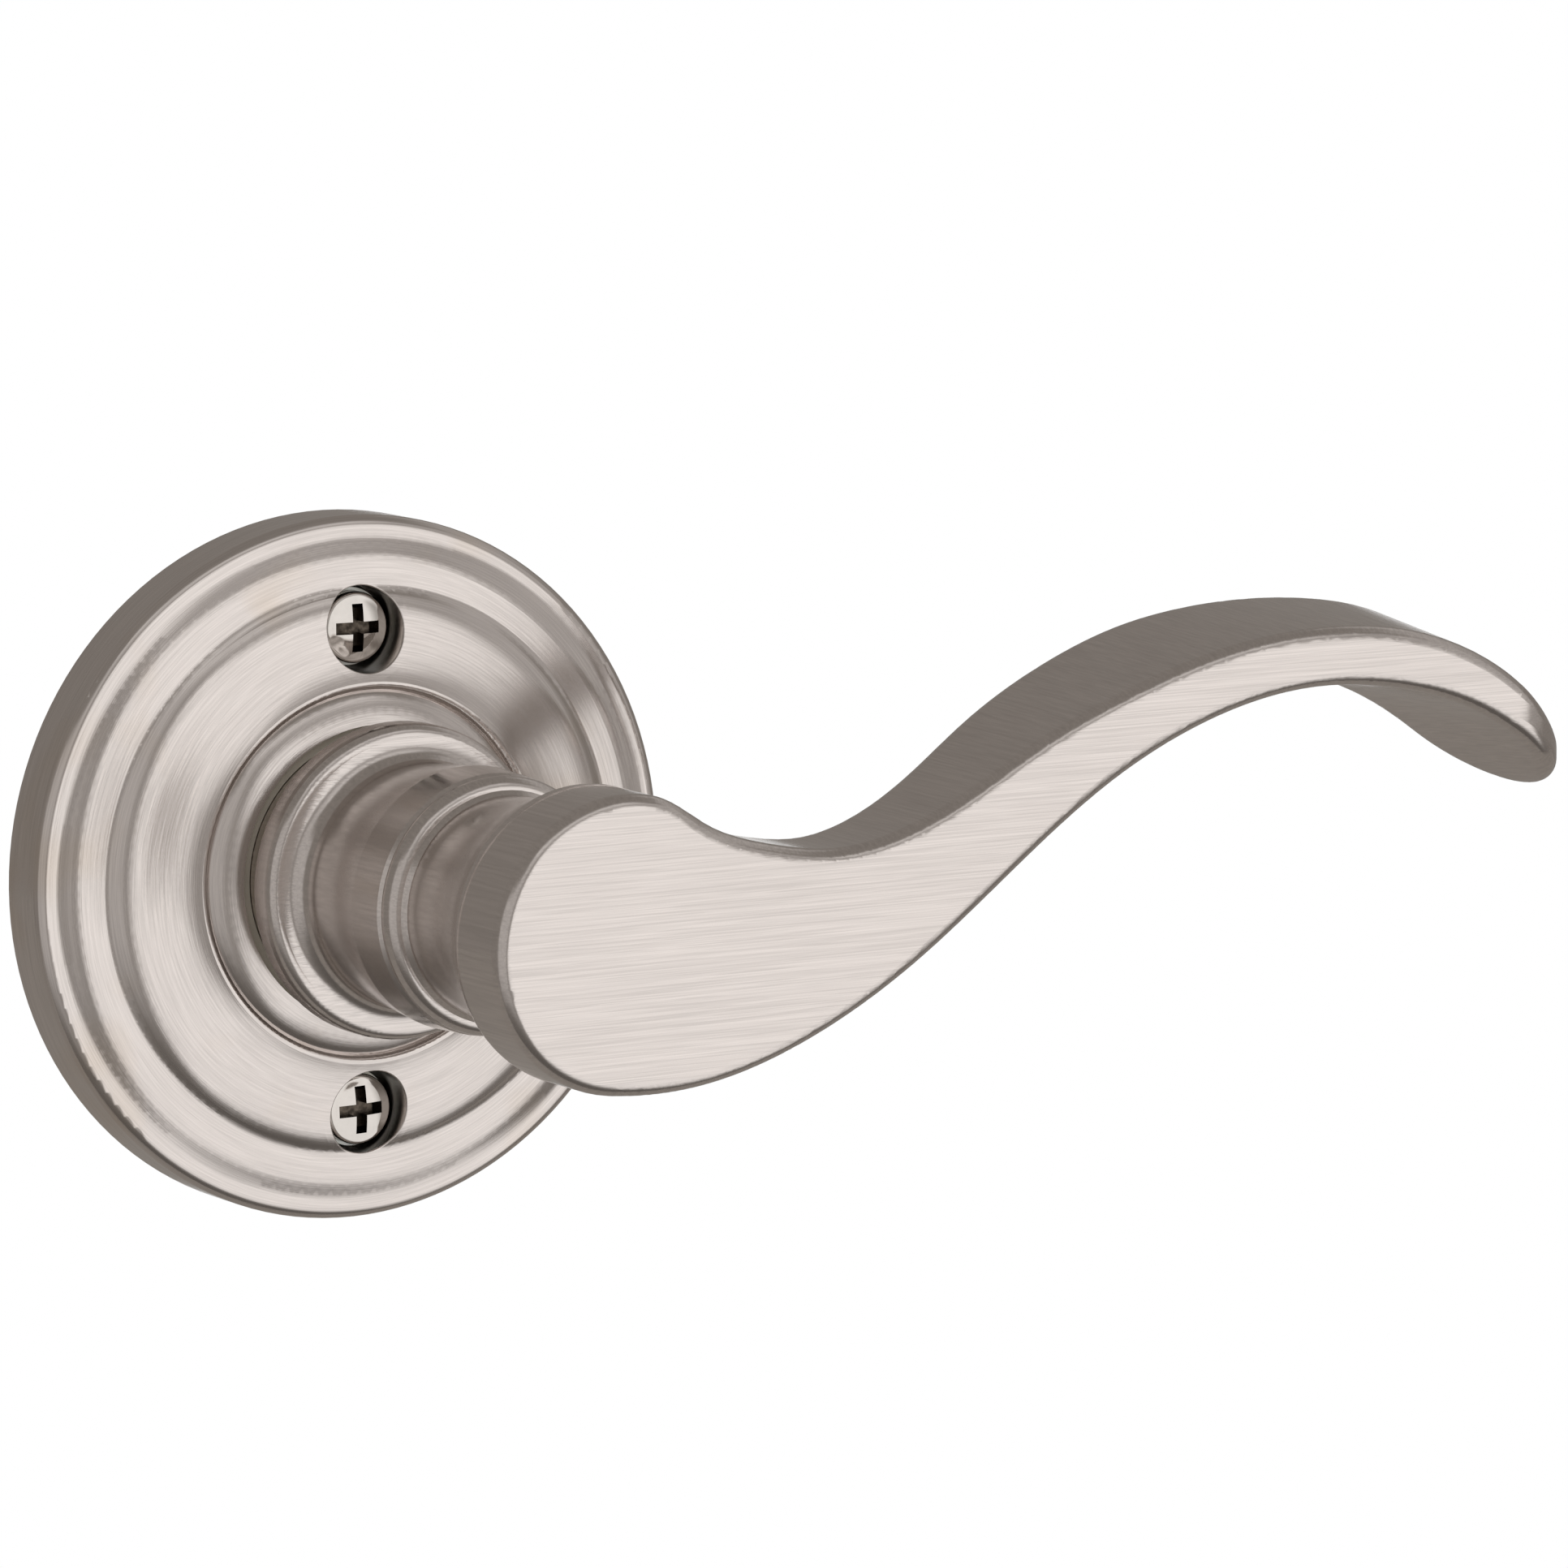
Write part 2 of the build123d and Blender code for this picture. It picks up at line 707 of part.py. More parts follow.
def main():
    os.makedirs("parts", exist_ok=True)
    save("rose_cover", make_rose_cover())
    save("mounting_plate", make_mounting_plate())
    save("screw_posts", make_screw_posts())
    save("screw_washers", make_screw_washers())
    save("mounting_screws", make_mounting_screws())
    save("rose_bush", make_rose_bush())
    save("plate_bush", make_plate_bush())
    save("rose_clips", make_rose_clips())
    save("clip_rivets", make_clip_rivets())
    save("spring_anchor", make_spring_anchor())
    save("stop_pins", make_stop_pins())
    save("return_spring", make_return_spring())
    save("lever_handle", make_lever_handle())
    save("drive_sleeve", make_drive_sleeve())
    save("spring_driver", make_spring_driver())
    save("set_screw", make_set_screw())
    save("latch_spindle", make_latch_spindle())
    save("spindle_pin", make_spindle_pin())
    save("thrust_washer", make_thrust_washer())
    save("retaining_ring", make_retaining_ring())


main()
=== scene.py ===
"""A door lever handle in satin nickel: finishes for its parts, threaded screws and a studio."""

import math

import bpy
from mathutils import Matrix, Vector


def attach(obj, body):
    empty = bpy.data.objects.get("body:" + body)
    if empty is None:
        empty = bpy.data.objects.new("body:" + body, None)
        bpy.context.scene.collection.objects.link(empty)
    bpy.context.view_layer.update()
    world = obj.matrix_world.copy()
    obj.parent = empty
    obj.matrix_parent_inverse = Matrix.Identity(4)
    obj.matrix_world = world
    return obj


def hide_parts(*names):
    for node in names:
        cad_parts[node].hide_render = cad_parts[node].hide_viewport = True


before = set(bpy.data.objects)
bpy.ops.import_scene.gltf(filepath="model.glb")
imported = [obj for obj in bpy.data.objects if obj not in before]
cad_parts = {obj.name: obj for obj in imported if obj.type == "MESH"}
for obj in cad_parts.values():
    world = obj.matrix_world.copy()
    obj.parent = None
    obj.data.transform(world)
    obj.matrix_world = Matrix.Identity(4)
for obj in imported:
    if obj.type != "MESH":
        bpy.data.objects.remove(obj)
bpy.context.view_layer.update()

bl_info = {
    "name": "Door lever handle",
    "version": (1, 0, 0),
    "blender": (4, 5, 0),
    "location": "3D View > Sidebar > Handle",
    "description": "Dresses a door lever handle in its metals and lights it",
    "category": "Object",
}

MM = 0.001
MERGE_DISTANCE = 0.001 * MM
SMOOTH_ANGLE = math.radians(30.0)
HEAD_STEPS = 96
EDGE_STEPS = 6
DOME_STEPS = 8
THREAD_STEPS = 40
# shares by which a recess's arms draw in along and across, and the width left at the thread's tip
RECESS_DRAW = 0.25
RECESS_SIDE_DRAW = 0.05
TIP_SHARE = 0.78
# nearly all of a noise texture lies between these values
NOISE_LOW, NOISE_HIGH = 0.3, 0.7
# sockets of the Mix node, whose names repeat
FACTOR, VALUE_A, VALUE_B, COLOUR_A, COLOUR_B = 0, 2, 3, 6, 7
VALUE_RESULT, COLOUR_RESULT = 0, 2
# the light panels' edges fade over this angle, and the walls darken down to this share
PANEL_SOFTNESS = math.radians(6.0)
WALL_DARK_RISE, WALL_FULL_RISE = math.radians(-60.0), math.radians(-10.0)
WALL_DARK_SHARE = 0.5
SENSOR_WIDTH = 36.0


def linear(hex_colour):
    """The linear colour of an sRGB hex value."""
    parts = [int(hex_colour[place:place + 2], 16) / 255 for place in (0, 2, 4)]
    return tuple(c / 12.92 if c <= 0.04045 else ((c + 0.055) / 1.055) ** 2.4 for c in parts)


def colour_setting(name, hex_colour, description):
    """A colour property with an sRGB hex value as its default."""
    return bpy.props.FloatVectorProperty(
        name=name, description=description, subtype="COLOR", size=3, min=0.0, max=1.0,
        default=linear(hex_colour),
    )


def length_setting(name, millimetres, description):
    """A length property with its default in millimetres."""
    return bpy.props.FloatProperty(
        name=name, description=description, unit="LENGTH", default=millimetres * MM,
    )


def angle_setting(name, degrees, description):
    """An angle property with its default in degrees."""
    return bpy.props.FloatProperty(
        name=name, description=description, unit="ROTATION", default=math.radians(degrees),
    )


def share_setting(name, value, description):
    """A plain number property, never negative."""
    return bpy.props.FloatProperty(name=name, description=description, default=value, min=0.0)


def edges_setting(name, degrees, thing):
    """The edges of a light panel, in degrees of azimuth and elevation."""
    return bpy.props.FloatVectorProperty(
        name=name, description="Left, right, lower and upper edge of the " + thing, unit="ROTATION",
        size=4, default=[math.radians(edge) for edge in degrees],
    )


class HandleFinish(bpy.types.PropertyGroup):
    """Colours of the handle's metals and plastic, and the painted shade in the screws' recesses."""

    nickel: colour_setting("Satin nickel", "DDD6D2", "Brushed nickel plate of the lever and rose")
    nickel_tarnish: colour_setting("Nickel tarnish", "C9B294", "Warm tint where the plate is thin")
    # painted shade: the recess colour is dark to stand in for the shade inside the screws' recesses
    recess: colour_setting("Recess", "4A433C", "Thin dull plate inside the screws' recesses")
    polished: colour_setting("Polished nickel", "D8D3CE", "Bright nickel plate of the screws")
    zinc: colour_setting("Zinc", "B9BFC2", "Bright zinc plate of the pressed steel")
    zinc_spangle: colour_setting("Zinc spangle", "ADA99B", "Straw tint of the passivated zinc")
    drawn: colour_setting("Drawn steel", "BDBBB7", "Bright drawn bar of the spindle and sleeve")
    spring: colour_setting("Spring steel", "77777A", "Oiled spring wire and strip")
    black: colour_setting("Black oxide", "2B2A2A", "Blackened set screw")
    acetal: colour_setting("Acetal", "E9E4D6", "Natural acetal of the bushes")


class HandleScrews(bpy.types.PropertyGroup):
    """Sizes of the two fixing screws."""

    head_radius: length_setting("Head radius", 3.55, "Radius of the pan head")
    head_floor: length_setting("Head floor", 5.7, "Height of the head's underside off the door")
    head_height: length_setting("Head height", 1.48, "Height of the pan head")
    edge_height: length_setting("Edge height", 0.6, "Height of the head's straight side")
    edge_width: length_setting("Edge width", 0.45, "Width of the head's rounded edge")
    dome_rise: length_setting("Dome rise", 0.4, "Rise of the head's dome")
    neck_radius: length_setting("Neck radius", 1.75, "Radius of the plain neck under the head")
    thread_start: length_setting("Thread start", 0.4, "Thread's first depth behind the door face")
    thread_end: length_setting("Thread end", 28.0, "Thread's last depth behind the door face")
    thread_radius: length_setting("Thread radius", 2.1, "Radius over the thread's crests")
    thread_depth: length_setting("Thread depth", 0.43, "Depth of the thread")
    thread_pitch: length_setting("Thread pitch", 0.8, "Rise of the thread in one turn")
    slot_width: length_setting("Slot width", 1.2, "Width of the cross recess's arms")
    slot_length: length_setting("Slot length", 5.0, "Length across the cross recess")
    slot_depth: length_setting("Slot depth", 1.3, "Depth of the cross recess")
    spacing: length_setting("Spacing", 48.0, "Distance between the screws")
    lower_turn: angle_setting("Lower turn", 2.0, "Turn of the lower screw's recess")


class HandleStage(bpy.types.PropertyGroup):
    """Camera, floor and studio light."""

    camera_azimuth: angle_setting("Camera azimuth", -31.628, "Camera's turn round the handle")
    camera_elevation: angle_setting("Camera elevation", 7.997, "Camera's height angle")
    camera_distance: length_setting("Camera distance", 912.75, "Camera's distance from its aim")
    camera_lens: bpy.props.FloatProperty(
        name="Lens", description="Focal length on a 36 mm sensor", unit="CAMERA", default=204.97,
    )
    aim: bpy.props.FloatVectorProperty(
        name="Aim", description="Point that the camera looks at", subtype="TRANSLATION", size=3,
        default=(53.45 * MM, 0.0, 3.754 * MM),
    )
    floor_drop: length_setting("Floor drop", 1200.0, "Floor's distance below the turning axis")
    floor_side: length_setting("Floor side", 7000.0, "Side of the square floor")
    floor_back: length_setting("Floor back", 3300.0, "Floor's middle, behind the door face")
    floor: colour_setting("Floor", "EFEDEA", "Pale floor")
    card_side: length_setting("Card side", 1150.0, "Side of the white card behind the handle")
    card_distance: length_setting("Card distance", 4000.0, "Card's distance behind the handle")
    studio: colour_setting("Studio", "8A8580", "Unlit walls of the studio")
    front_edges: edges_setting("Front panel", (-1.0, 45.5, -44.0, 21.0), "front light panel")
    front_level: share_setting("Front level", 0.83, "Brightness of the front panel over the walls")
    front_lean: share_setting("Front lean", 0.36, "Lean of the front panel's right edge, as a slope")
    strip_edges: edges_setting("Strip light", (-32.0, 46.0, 31.0, 47.0), "strip light over the panel")
    strip_level: share_setting("Strip level", 0.5, "Brightness of the strip light over the walls")
    side_edges: edges_setting("Side panel", (45.0, 74.0, -8.0, 34.0), "panel right of the front one")
    side_level: share_setting("Side level", 0.24, "Brightness of the side panel over the walls")
    far_edges: edges_setting("Far panel", (70.0, 130.0, 26.0, 46.0), "panel on the far right")
    far_level: share_setting("Far level", 0.2, "Brightness of the far panel over the walls")
    left_edges: edges_setting("Left panel", (-78.0, -12.0, -30.0, 28.0), "panel on the left")
    left_level: share_setting("Left level", 0.26, "Brightness of the left panel over the walls")


def put(tree, kind, inputs, **settings):
    """Add a node with its settings, its values and its links."""
    made = tree.nodes.new(kind)
    for name, value in settings.items():
        setattr(made, name, value)
    for key, value in inputs.items():
        if isinstance(value, bpy.types.NodeSocket):
            tree.links.new(value, made.inputs[key])
        else:
            made.inputs[key].default_value = value
    return made


def new_material(name):
    """An empty material with its shader: the material, its tree and its shader."""
    material = bpy.data.materials.new(name)
    material.use_nodes = True
    return material, material.node_tree, material.node_tree.nodes["Principled BSDF"]


def rgba(colour, level=1.0):
    """A colour times a level, with full alpha."""
    return (colour[0] * level, colour[1] * level, colour[2] * level, 1.0)


def finish_metal(tree, shader, streak, tint, rough, relief, stain=None):
    """Carry a streak pattern into a metal's colour, roughness and relief, with a few stained patches."""
    dark, light = tint
    smooth, coarse = rough
    shade = put(tree, "ShaderNodeMapRange", {
        "Value": streak, "From Min": NOISE_LOW, "From Max": NOISE_HIGH})
    colour = put(tree, "ShaderNodeMix", {
        FACTOR: shade.outputs["Result"], COLOUR_A: dark, COLOUR_B: light}, data_type="RGBA")
    if stain:
        # patches about 15 mm wide
        place = put(tree, "ShaderNodeTexCoord", {})
        patches = put(tree, "ShaderNodeTexNoise", {
            "Vector": place.outputs["Object"], "Scale": 70.0, "Detail": 2.0})
        cover = put(tree, "ShaderNodeMapRange", {
            "Value": patches.outputs["Fac"], "From Min": 0.56, "From Max": 0.74,
            "To Min": 0.0, "To Max": 0.3})
        colour = put(tree, "ShaderNodeMix", {
            FACTOR: cover.outputs["Result"], COLOUR_A: colour.outputs[COLOUR_RESULT], COLOUR_B: stain},
            data_type="RGBA")
    gloss = put(tree, "ShaderNodeMapRange", {
        "Value": streak, "From Min": NOISE_LOW, "From Max": NOISE_HIGH,
        "To Min": coarse, "To Max": smooth})
    bump = put(tree, "ShaderNodeBump", {"Strength": 1.0, "Distance": relief, "Height": streak})
    tree.links.new(colour.outputs[COLOUR_RESULT], shader.inputs["Base Color"])
    tree.links.new(gloss.outputs["Result"], shader.inputs["Roughness"])
    tree.links.new(bump.outputs["Normal"], shader.inputs["Normal"])
    shader.inputs["Metallic"].default_value = 1.0


def brushed_lever_nickel(finish):
    """Nickel plate over hand-brushed metal: fine strokes along the lever's face and across its sides."""
    material, tree, shader = new_material("satin_nickel_cross_brushed")
    place = put(tree, "ShaderNodeTexCoord", {})
    facing = put(tree, "ShaderNodeSeparateXYZ", {"Vector": place.outputs["Normal"]})
    flat = put(tree, "ShaderNodeMath", {0: facing.outputs["Y"]}, operation="ABSOLUTE")
    face = put(tree, "ShaderNodeMapRange", {
        "Value": flat.outputs[0], "From Min": 0.75, "From Max": 0.95},
        interpolation_type="SMOOTHSTEP")
    # strokes 14 mm long and 0.14 mm apart on the face, 12 mm long across the sides
    along = put(tree, "ShaderNodeMapping", {
        "Vector": place.outputs["Object"], "Rotation": (0.0, math.radians(3.0), 0.0),
        "Scale": (70.0, 7000.0, 7000.0)})
    face_strokes = put(tree, "ShaderNodeTexNoise", {
        "Vector": along.outputs[0], "Scale": 1.0, "Detail": 3.0, "Roughness": 0.6})
    # sparse scratches 17 mm long that cross the strokes both ways
    strokes = face_strokes.outputs["Fac"]
    for lean in (-7.0, 11.0):
        slant = put(tree, "ShaderNodeMapping", {
            "Vector": place.outputs["Object"], "Rotation": (0.0, math.radians(lean), 0.0),
            "Scale": (60.0, 5500.0, 5500.0)})
        hairlines = put(tree, "ShaderNodeTexNoise", {
            "Vector": slant.outputs[0], "Scale": 1.0, "Detail": 2.0, "Roughness": 0.6})
        scratch = put(tree, "ShaderNodeMapRange", {
            "Value": hairlines.outputs["Fac"], "From Min": 0.58, "From Max": 0.68,
            "To Min": 0.0, "To Max": 0.25})
        strokes = put(tree, "ShaderNodeMath", {
            0: strokes, 1: scratch.outputs["Result"]}, operation="SUBTRACT").outputs[0]
    across = put(tree, "ShaderNodeMapping", {
        "Vector": place.outputs["Object"], "Scale": (3300.0, 80.0, 3300.0)})
    side_strokes = put(tree, "ShaderNodeTexNoise", {
        "Vector": across.outputs[0], "Scale": 1.0, "Detail": 4.0, "Roughness": 0.65})
    streak = put(tree, "ShaderNodeMix", {
        FACTOR: face.outputs["Result"], VALUE_A: side_strokes.outputs["Fac"], VALUE_B: strokes})
    finish_metal(tree, shader, streak.outputs[VALUE_RESULT],
                 (rgba(finish.nickel, 0.87), rgba(finish.nickel, 1.05)), (0.15, 0.22), 0.006 * MM)
    return material


def brushed_rose_nickel(finish):
    """Nickel plate over metal brushed on a lathe: fine rings about the turning axis."""
    material, tree, shader = new_material("satin_nickel_ring_brushed")
    place = put(tree, "ShaderNodeTexCoord", {})
    flat = put(tree, "ShaderNodeVectorMath", {
        0: place.outputs["Object"], 1: (1.0, 0.0, 1.0)}, operation="MULTIPLY")
    reach = put(tree, "ShaderNodeVectorMath", {0: flat.outputs[0]}, operation="LENGTH")
    way = put(tree, "ShaderNodeVectorMath", {0: flat.outputs[0]}, operation="NORMALIZE")
    # rings 0.2 mm apart that fade in and out about every 15 degrees
    turn = put(tree, "ShaderNodeVectorMath", {0: way.outputs[0], "Scale": 3.8}, operation="SCALE")
    parts = put(tree, "ShaderNodeSeparateXYZ", {"Vector": turn.outputs[0]})
    depth = put(tree, "ShaderNodeSeparateXYZ", {"Vector": place.outputs["Object"]})
    run = put(tree, "ShaderNodeMath", {
        0: reach.outputs["Value"], 1: depth.outputs["Y"]}, operation="ADD")
    rings = put(tree, "ShaderNodeMath", {0: run.outputs[0], 1: 5000.0}, operation="MULTIPLY")
    spot = put(tree, "ShaderNodeCombineXYZ", {
        "X": parts.outputs["X"], "Y": rings.outputs[0], "Z": parts.outputs["Z"]})
    streak = put(tree, "ShaderNodeTexNoise", {
        "Vector": spot.outputs[0], "Scale": 1.0, "Detail": 4.0, "Roughness": 0.65})
    finish_metal(tree, shader, streak.outputs["Fac"],
                 (rgba(finish.nickel, 0.86), rgba(finish.nickel, 1.05)), (0.15, 0.22), 0.006 * MM,
                 rgba(finish.nickel_tarnish))
    return material


def bright_screw_nickel(finish):
    """Polished nickel plate: mirror bright with soft patches of wear."""
    material, tree, shader = new_material("polished_nickel_plate")
    place = put(tree, "ShaderNodeTexCoord", {})
    # wear patches about 1 mm wide
    wear = put(tree, "ShaderNodeTexNoise", {
        "Vector": place.outputs["Object"], "Scale": 900.0, "Detail": 3.0, "Roughness": 0.6})
    finish_metal(tree, shader, wear.outputs["Fac"],
                 (rgba(finish.polished, 0.94), rgba(finish.polished)), (0.04, 0.09), 0.001 * MM)
    return material


def painted_shade_recess_nickel(finish):
    """Painted shade for the screws' recesses: nickel drawn dark brown-grey and matt, with painted
    glints.
    """
    material, tree, shader = new_material("recess_painted_shade_nickel")
    place = put(tree, "ShaderNodeTexCoord", {})
    # painted glints about 0.5 mm wide, brighter spots in the painted recess shade
    painted_glints = put(tree, "ShaderNodeTexNoise", {
        "Vector": place.outputs["Object"], "Scale": 2000.0, "Detail": 3.0, "Roughness": 0.6})
    # painted shade: the recess colour at 0.6 to 1.8 times, the bright end being painted glints
    finish_metal(tree, shader, painted_glints.outputs["Fac"],
                 (rgba(finish.recess, 0.6), rgba(finish.recess, 1.8)), (0.18, 0.4), 0.004 * MM)
    return material


def zinc_plate(finish):
    """Bright zinc on pressed steel: bluish grey with a straw bloom and a fine pressed grain."""
    material, tree, shader = new_material("bright_zinc_plated_steel")
    place = put(tree, "ShaderNodeTexCoord", {})
    # bloom patches about 6 mm wide over a grain of about 0.4 mm
    bloom = put(tree, "ShaderNodeTexNoise", {
        "Vector": place.outputs["Object"], "Scale": 160.0, "Detail": 3.0, "Roughness": 0.6})
    grain = put(tree, "ShaderNodeTexNoise", {
        "Vector": place.outputs["Object"], "Scale": 2500.0, "Detail": 3.0, "Roughness": 0.6})
    pattern = put(tree, "ShaderNodeMix", {
        FACTOR: 0.3, VALUE_A: bloom.outputs["Fac"], VALUE_B: grain.outputs["Fac"]})
    finish_metal(tree, shader, pattern.outputs[VALUE_RESULT],
                 (rgba(finish.zinc_spangle), rgba(finish.zinc)), (0.28, 0.42), 0.01 * MM)
    return material


def drawn_bar(finish):
    """Bright drawn steel: die lines along the bar and a light oil film."""
    material, tree, shader = new_material("bright_drawn_steel")
    place = put(tree, "ShaderNodeTexCoord", {})
    # die lines 0.4 mm apart and 30 mm long
    along = put(tree, "ShaderNodeMapping", {
        "Vector": place.outputs["Object"], "Scale": (2500.0, 33.0, 2500.0)})
    lines = put(tree, "ShaderNodeTexNoise", {
        "Vector": along.outputs[0], "Scale": 1.0, "Detail": 4.0, "Roughness": 0.6})
    finish_metal(tree, shader, lines.outputs["Fac"],
                 (rgba(finish.drawn, 0.85), rgba(finish.drawn)), (0.2, 0.34), 0.006 * MM)
    return material


def oiled_spring_steel(finish):
    """Oil-tempered spring steel: dark grey with a bluish bloom and a satin sheen."""
    material, tree, shader = new_material("oil_tempered_spring_steel")
    place = put(tree, "ShaderNodeTexCoord", {})
    # temper bloom about 2 mm wide
    bloom = put(tree, "ShaderNodeTexNoise", {
        "Vector": place.outputs["Object"], "Scale": 500.0, "Detail": 4.0, "Roughness": 0.6})
    finish_metal(tree, shader, bloom.outputs["Fac"],
                 (rgba(finish.spring, 0.8), rgba(finish.spring)), (0.26, 0.4), 0.006 * MM)
    return material


def black_oxide_steel(finish):
    """Black oxide on steel: near black, satin, with a fine grain."""
    material, tree, shader = new_material("black_oxide_steel")
    place = put(tree, "ShaderNodeTexCoord", {})
    # grain about 0.3 mm wide
    grain = put(tree, "ShaderNodeTexNoise", {
        "Vector": place.outputs["Object"], "Scale": 3000.0, "Detail": 3.0, "Roughness": 0.6})
    finish_metal(tree, shader, grain.outputs["Fac"],
                 (rgba(finish.black, 0.7), rgba(finish.black, 1.3)), (0.34, 0.5), 0.008 * MM)
    return material


def natural_acetal(finish):
    """Moulded natural acetal: waxy off-white with a faint flow pattern and a soft sheen."""
    material, tree, shader = new_material("natural_acetal")
    place = put(tree, "ShaderNodeTexCoord", {})
    # flow marks about 3 mm wide
    flow = put(tree, "ShaderNodeTexNoise", {
        "Vector": place.outputs["Object"], "Scale": 330.0, "Detail": 3.0, "Roughness": 0.5})
    shade = put(tree, "ShaderNodeMix", {
        FACTOR: flow.outputs["Fac"], COLOUR_A: rgba(finish.acetal, 0.92),
        COLOUR_B: rgba(finish.acetal)}, data_type="RGBA")
    gloss = put(tree, "ShaderNodeMapRange", {
        "Value": flow.outputs["Fac"], "From Min": NOISE_LOW, "From Max": NOISE_HIGH,
        "To Min": 0.38, "To Max": 0.48})
    bump = put(tree, "ShaderNodeBump", {
        "Strength": 1.0, "Distance": 0.01 * MM, "Height": flow.outputs["Fac"]})
    tree.links.new(shade.outputs[COLOUR_RESULT], shader.inputs["Base Color"])
    tree.links.new(gloss.outputs["Result"], shader.inputs["Roughness"])
    tree.links.new(bump.outputs["Normal"], shader.inputs["Normal"])
    shader.inputs["IOR"].default_value = 1.48
    return material


def dress(material, *nodes):
    """Give a material to carried-over parts."""
    for name in nodes:
        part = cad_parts[name]
        part.data.materials.clear()
        part.data.materials.append(material)


def start_piece():
    """Leave edit mode and select nothing, so that a new piece starts alone."""
    if bpy.context.object and bpy.context.object.mode != "OBJECT":
        bpy.ops.object.mode_set(mode="OBJECT")
    bpy.ops.object.select_all(action="DESELECT")


def pick(test):
    """Select the vertices that pass a test, in edit mode."""
    bpy.ops.mesh.select_all(action="DESELECT")
    bpy.ops.object.mode_set(mode="OBJECT")
    mesh = bpy.context.object.data
    chosen = [vertex for vertex in mesh.vertices if test(vertex.co)]
    if not chosen:
        raise RuntimeError("no vertex to shape")
    for vertex in chosen:
        vertex.select = True
    bpy.ops.object.mode_set(mode="EDIT")


def draw_line(points):
    """A chain of edges through points given as a distance along X and along Y."""
    start_piece()
    bpy.ops.mesh.primitive_plane_add(size=MM)
    bpy.ops.object.mode_set(mode="EDIT")
    bpy.ops.mesh.select_all(action="SELECT")
    bpy.ops.mesh.merge(type="CENTER")
    across, along = points[0]
    bpy.ops.transform.translate(value=(across, along, 0.0))
    for next_across, next_along in points[1:]:
        bpy.ops.mesh.extrude_region_move(TRANSFORM_OT_translate={
            "value": (next_across - across, next_along - along, 0.0)})
        across, along = next_across, next_along
    bpy.ops.object.mode_set(mode="OBJECT")
    return bpy.context.object


def close_mesh():
    """Merge doubled vertices and turn the faces outwards, from edit mode."""
    bpy.ops.mesh.select_all(action="SELECT")
    bpy.ops.mesh.remove_doubles(threshold=MERGE_DISTANCE)
    bpy.ops.mesh.select_all(action="SELECT")
    bpy.ops.mesh.normals_make_consistent(inside=False)
    bpy.ops.object.mode_set(mode="OBJECT")


def light_panel(tree, turn, rise, edges, level, lean=0.0):
    """A panel between edges of azimuth and elevation, softest at its lower edge, as a brightness."""
    left, right, low, high = edges
    slant = put(tree, "ShaderNodeMath", {0: rise, 1: lean, 2: turn}, operation="MULTIPLY_ADD")
    glow = level
    for angle, dark, bright in (
        (turn, left - PANEL_SOFTNESS, left + PANEL_SOFTNESS),
        (slant.outputs[0], right + PANEL_SOFTNESS, right - PANEL_SOFTNESS),
        (rise, low - 2 * PANEL_SOFTNESS, low + 2 * PANEL_SOFTNESS),
        (rise, high + PANEL_SOFTNESS, high - PANEL_SOFTNESS),
    ):
        share = put(tree, "ShaderNodeMapRange", {
            "Value": angle, "From Min": dark, "From Max": bright}, interpolation_type="SMOOTHSTEP")
        glow = put(tree, "ShaderNodeMath", {
            0: share.outputs["Result"], 1: glow}, operation="MULTIPLY").outputs[0]
    return glow


def camera_way(stage):
    """The direction from the handle to the camera."""
    turn, rise = stage.camera_azimuth, stage.camera_elevation
    return Vector((math.sin(turn) * math.cos(rise), -math.cos(turn) * math.cos(rise), math.sin(rise)))


class HANDLE_OT_finish_lever(bpy.types.Operator):
    """Brush the lever along its face and across its sides"""

    bl_idname = "handle.finish_lever"
    bl_label = "Finish lever"

    def execute(self, context):
        dress(brushed_lever_nickel(context.scene.handle_finish), "lever_handle")
        return {"FINISHED"}


class HANDLE_OT_finish_rose(bpy.types.Operator):
    """Brush the rose in rings"""

    bl_idname = "handle.finish_rose"
    bl_label = "Finish rose"

    def execute(self, context):
        dress(brushed_rose_nickel(context.scene.handle_finish), "rose_cover")
        return {"FINISHED"}


